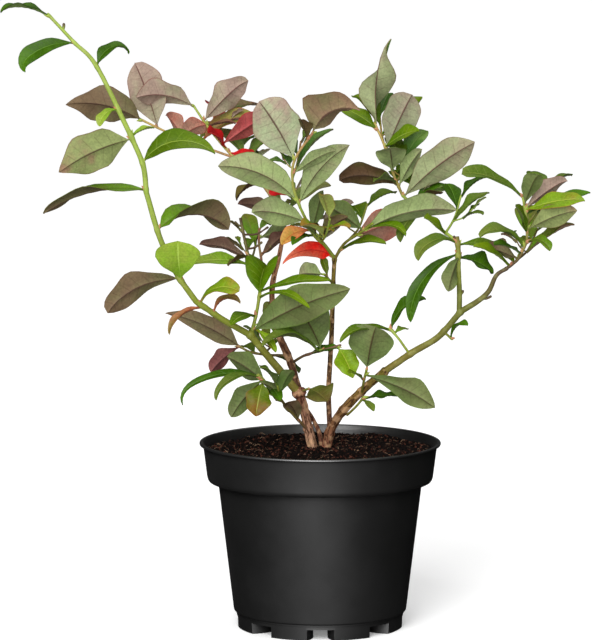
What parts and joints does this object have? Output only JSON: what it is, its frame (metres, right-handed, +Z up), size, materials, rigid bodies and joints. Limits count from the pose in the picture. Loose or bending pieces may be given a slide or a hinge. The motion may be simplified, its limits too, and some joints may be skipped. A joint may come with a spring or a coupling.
{
  "type": "potted blueberry bush",
  "caption": "Open young blueberry bush with arching leafy shoots, standing in a round tapered nursery pot of soil.",
  "frame": {"origin": "centre of the flat underside of the pot, where it stands", "axes": "+Z up the plant, +X to the right of its front, -Y towards its front"},
  "size_m": [0.403, 0.2253, 0.4446],
  "materials": {
    "pot": "satin black moulded plastic",
    "soil": "moist crumbly peat with fibres",
    "bark": "brown bark, peeling at the foot",
    "green_bark": "smooth green shoots",
    "green_leaves": "green leaves with pale undersides",
    "bronze_leaves": "leaves with mauve-bronze undersides",
    "red_leaves": "leaves turning red and orange"
  },
  "bodies": {
    "root": {"pot": "pot", "potting_soil": "soil", "left_stem": "bark", "right_stem": "bark", "thin_stem": "bark", "arching_bough": "green_bark", "middle_bough": "bark", "centre_stem": "bark", "right_bough": "green_bark", "right_arm": "green_bark", "upright_stub": "green_bark", "foliage_arching_lower": "green_leaves", "foliage_arching_middle": "green_leaves", "foliage_arching_upper": "green_leaves", "foliage_arching_tip": "green_leaves", "foliage_inner_left": "red_leaves", "foliage_upper_left": "bronze_leaves", "foliage_far_left": "bronze_leaves", "foliage_top_centre": "bronze_leaves", "foliage_centre_fork": "red_leaves", "foliage_centre_right": "green_leaves", "foliage_centre_low": "green_leaves", "foliage_left_twig": "green_leaves", "foliage_left_twig_top": "green_leaves", "foliage_thin_twig": "green_leaves", "foliage_low_left": "green_leaves", "foliage_behind_left": "bronze_leaves", "foliage_link": "green_leaves", "foliage_fork_leaf": "green_leaves", "foliage_right_low": "green_leaves", "foliage_low_spur": "green_leaves", "foliage_right_twiglet": "green_leaves", "foliage_bough_curl": "green_leaves", "foliage_stub_crown": "green_leaves", "foliage_top_right_low": "green_leaves", "foliage_top_right": "green_leaves", "foliage_right_end_low": "green_leaves", "foliage_right_end": "green_leaves"}
  },
  "joints": []
}
